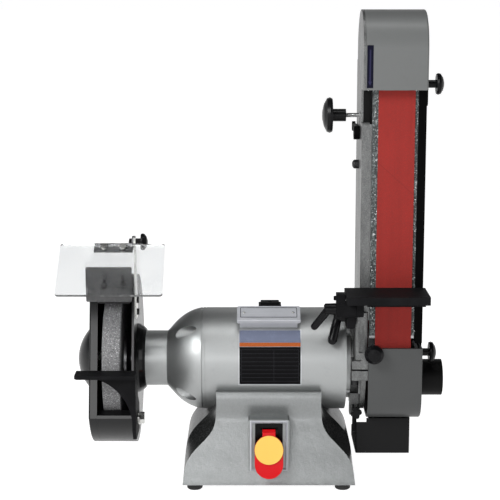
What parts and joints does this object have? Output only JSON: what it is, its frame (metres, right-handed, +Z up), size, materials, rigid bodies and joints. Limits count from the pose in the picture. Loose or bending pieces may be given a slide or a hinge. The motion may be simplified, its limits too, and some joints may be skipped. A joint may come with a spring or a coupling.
{
  "type": "bench grinder with upright belt sander",
  "caption": "Bench grinder with a guarded grinding wheel on one end of its motor and an upright belt sander with a tilting table on the other, on a cast base.",
  "frame": {"origin": "centre of the four bench bolts, in the plane of the bench top", "axes": "+Z up, +X to the operator's right along the spindle from the grinding wheel to the belt, and the operator stands at -Y"},
  "size_m": [0.5445, 0.27, 0.6715],
  "materials": {
    "cast_grey": "satin metallic",
    "black_guard": "gloss",
    "black_satin": "satin",
    "cap_grey": "satin",
    "black_knob": "satin",
    "tray_plastic": "satin",
    "red_plastic": "gloss",
    "yellow_plastic": "gloss",
    "rubber": "matte",
    "steel": "brushed",
    "zinc": "plated",
    "aluminium": "cast",
    "silicon_steel": "matte",
    "copper": "enamelled",
    "abrasive": "grainy",
    "belt": "abrasive coated cloth",
    "graphite": "graphite cloth",
    "clear": "clear"
  },
  "bodies": {
    "stand": {"base_casting": "cast_grey", "rubber_feet": "rubber", "switch_plate": "black_knob", "capacitor": "black_knob", "cord_gland": "black_knob", "motor_shell": "cast_grey", "end_bell_left": "cast_grey", "end_bell_right": "cast_grey", "tie_bolts": "steel", "stator_core": "silicon_steel", "stator_windings": "copper", "bearing_outer_rings": "steel", "motor_badge": "aluminium", "lifting_pad": "black_satin", "guard_body": "black_guard", "guard_cover": "black_guard", "guard_screws": "steel", "shield_arm": "zinc", "tool_rest_bolt": "steel"},
    "spindle": {"shaft": "steel", "rotor_core": "silicon_steel", "bearing_inner_rings": "steel", "grinding_wheel": "abrasive", "wheel_flanges": "steel", "spindle_nuts": "steel", "drive_wheel": "aluminium", "drive_wheel_tyre": "rubber"},
    "balls": {"bearing_balls": "steel"},
    "paddle": {"switch_paddle": "red_plastic"},
    "key": {"safety_key": "yellow_plastic"},
    "rest": {"tool_rest": "cast_grey"},
    "arrestor": {"spark_arrestor": "zinc"},
    "shield": {"eye_shield": "clear", "shield_bracket": "zinc", "shield_rivets": "steel"},
    "shield_clamp": {"shield_knob": "black_knob"},
    "belt_arm": {"arm_frame": "aluminium", "arm_screws": "steel", "platen": "steel", "platen_pad": "graphite", "abrasive_belt": "belt", "upper_cap": "cap_grey", "lower_guard": "cap_grey", "dust_port": "black_knob", "tension_spring": "steel"},
    "cover": {"side_cover": "black_satin"},
    "upper_knob": {"cover_knob_upper": "black_knob"},
    "lower_knob": {"cover_knob_lower": "black_knob"},
    "front_knob": {"guard_knob": "black_knob"},
    "tray": {"spark_tray": "tray_plastic"},
    "tray_screw": {"tray_thumbscrew": "black_knob"},
    "slider": {"tension_slider": "steel"},
    "axle": {"idler_axle": "steel"},
    "idler": {"idler_wheel": "aluminium"},
    "track": {"tracking_knob": "black_knob"},
    "tension": {"tension_lever": "black_satin"},
    "bracket": {"table_bracket": "aluminium"},
    "table": {"work_table": "black_satin"},
    "tilt_lever": {"table_tilt_lever": "black_knob"},
    "slide_lever": {"table_slide_lever": "black_knob"}
  },
  "joints": [
    {"name": "spindle_spin", "type": "hinge", "parent": "stand", "child": "spindle", "pos_m": [0, 0, 0.168], "axis": [1, 0, 0], "continuous": true},
    {"name": "ball_orbit", "type": "hinge", "parent": "stand", "child": "balls", "pos_m": [0, 0, 0.168], "axis": [1, 0, 0], "continuous": true},
    {"name": "stop_paddle", "type": "hinge", "parent": "stand", "child": "paddle", "pos_m": [0, -0.0985, 0.086], "axis": [1, 0, 0], "range_deg": [0, 9], "stiffness_Nm_per_rad": 0.05},
    {"name": "key_pull", "type": "slide", "parent": "paddle", "child": "key", "axis": [0, -0.9613, 0.2756], "range_m": [0, 0.02]},
    {"name": "rest_slide", "type": "slide", "parent": "stand", "child": "rest", "axis": [0, -1, 0], "range_m": [0, 0.015]},
    {"name": "arrestor_slide", "type": "slide", "parent": "stand", "child": "arrestor", "axis": [0, 0, -1], "range_m": [-0.0015, 0.01]},
    {"name": "shield_tilt", "type": "hinge", "parent": "stand", "child": "shield", "pos_m": [-0.19, -0.053, 0.3485], "axis": [-1, 0, 0], "range_deg": [-10, 70]},
    {"name": "shield_clamp_turn", "type": "hinge", "parent": "shield", "child": "shield_clamp", "pos_m": [-0.19, -0.053, 0.3485], "axis": [1, 0, 0], "range_deg": [0, 360]},
    {"name": "arm_swing", "type": "hinge", "parent": "stand", "child": "belt_arm", "pos_m": [0, 0, 0.168], "axis": [-1, 0, 0], "range_deg": [0, 90]},
    {"name": "cover_lift", "type": "slide", "parent": "belt_arm", "child": "cover", "axis": [1, 0, 0], "range_m": [0, 0.06]},
    {"name": "upper_knob_turn", "type": "hinge", "parent": "cover", "child": "upper_knob", "pos_m": [0.217, -0.05, 0.57], "axis": [1, 0, 0], "range_deg": [0, 720]},
    {"name": "lower_knob_turn", "type": "hinge", "parent": "cover", "child": "lower_knob", "pos_m": [0.217, -0.03, 0.184], "axis": [1, 0, 0], "range_deg": [0, 720]},
    {"name": "front_knob_turn", "type": "hinge", "parent": "belt_arm", "child": "front_knob", "pos_m": [0.1475, -0.076, 0.1945], "axis": [0, -1, 0], "range_deg": [0, 720]},
    {"name": "tray_drop", "type": "slide", "parent": "belt_arm", "child": "tray", "axis": [0, 0, -1], "range_m": [0, 0.03]},
    {"name": "tray_screw_turn", "type": "hinge", "parent": "belt_arm", "child": "tray_screw", "pos_m": [0.1268, -0.036, 0.0965], "axis": [0, -1, 0], "range_deg": [0, 360]},
    {"name": "tension_lever_turn", "type": "hinge", "parent": "belt_arm", "child": "tension", "pos_m": [0.124, -0.024, 0.5], "axis": [-1, 0, 0], "range_deg": [0, 40]},
    {"name": "idler_drop", "type": "slide", "parent": "belt_arm", "child": "slider", "axis": [0, 0, -1], "range_m": [0, 0.008], "deforming": ["tension_spring"]},
    {"name": "track_screw_turn", "type": "hinge", "parent": "slider", "child": "track", "pos_m": [0.108, -0.026, 0.525], "axis": [1, 0, 0], "range_deg": [-120, 120]},
    {"name": "idler_lean", "type": "hinge", "parent": "slider", "child": "axle", "pos_m": [0.143, -0.0252, 0.575], "axis": [0, 1, 0], "range_deg": [-0.4, 0.4]},
    {"name": "idler_spin", "type": "hinge", "parent": "axle", "child": "idler", "pos_m": [0.1758, -0.0252, 0.6165], "axis": [1, 0, 0], "continuous": true},
    {"name": "bracket_slide", "type": "slide", "parent": "belt_arm", "child": "bracket", "axis": [0, -1, 0], "range_m": [0, 0.01]},
    {"name": "table_tilt", "type": "hinge", "parent": "bracket", "child": "table", "pos_m": [0.164, -0.097, 0.262], "axis": [1, 0, 0], "range_deg": [0, 45]},
    {"name": "tilt_lever_turn", "type": "hinge", "parent": "bracket", "child": "tilt_lever", "pos_m": [0.09, -0.097, 0.262], "axis": [1, 0, 0], "range_deg": [-40, 40]},
    {"name": "slide_lever_turn", "type": "hinge", "parent": "belt_arm", "child": "slide_lever", "pos_m": [0.1, -0.062, 0.244], "axis": [1, 0, 0], "range_deg": [-40, 5]}
  ],
  "couplings": [
    {"joint": "ball_orbit", "follows": "spindle_spin", "ratio": 0.3815},
    {"joint": "idler_spin", "follows": "spindle_spin", "ratio": 1.6667},
    {"joint": "tension_lever_turn", "follows": "idler_drop", "rad_per_m": 87.26},
    {"joint": "idler_lean", "follows": "track_screw_turn", "ratio": 0.00306}
  ]
}
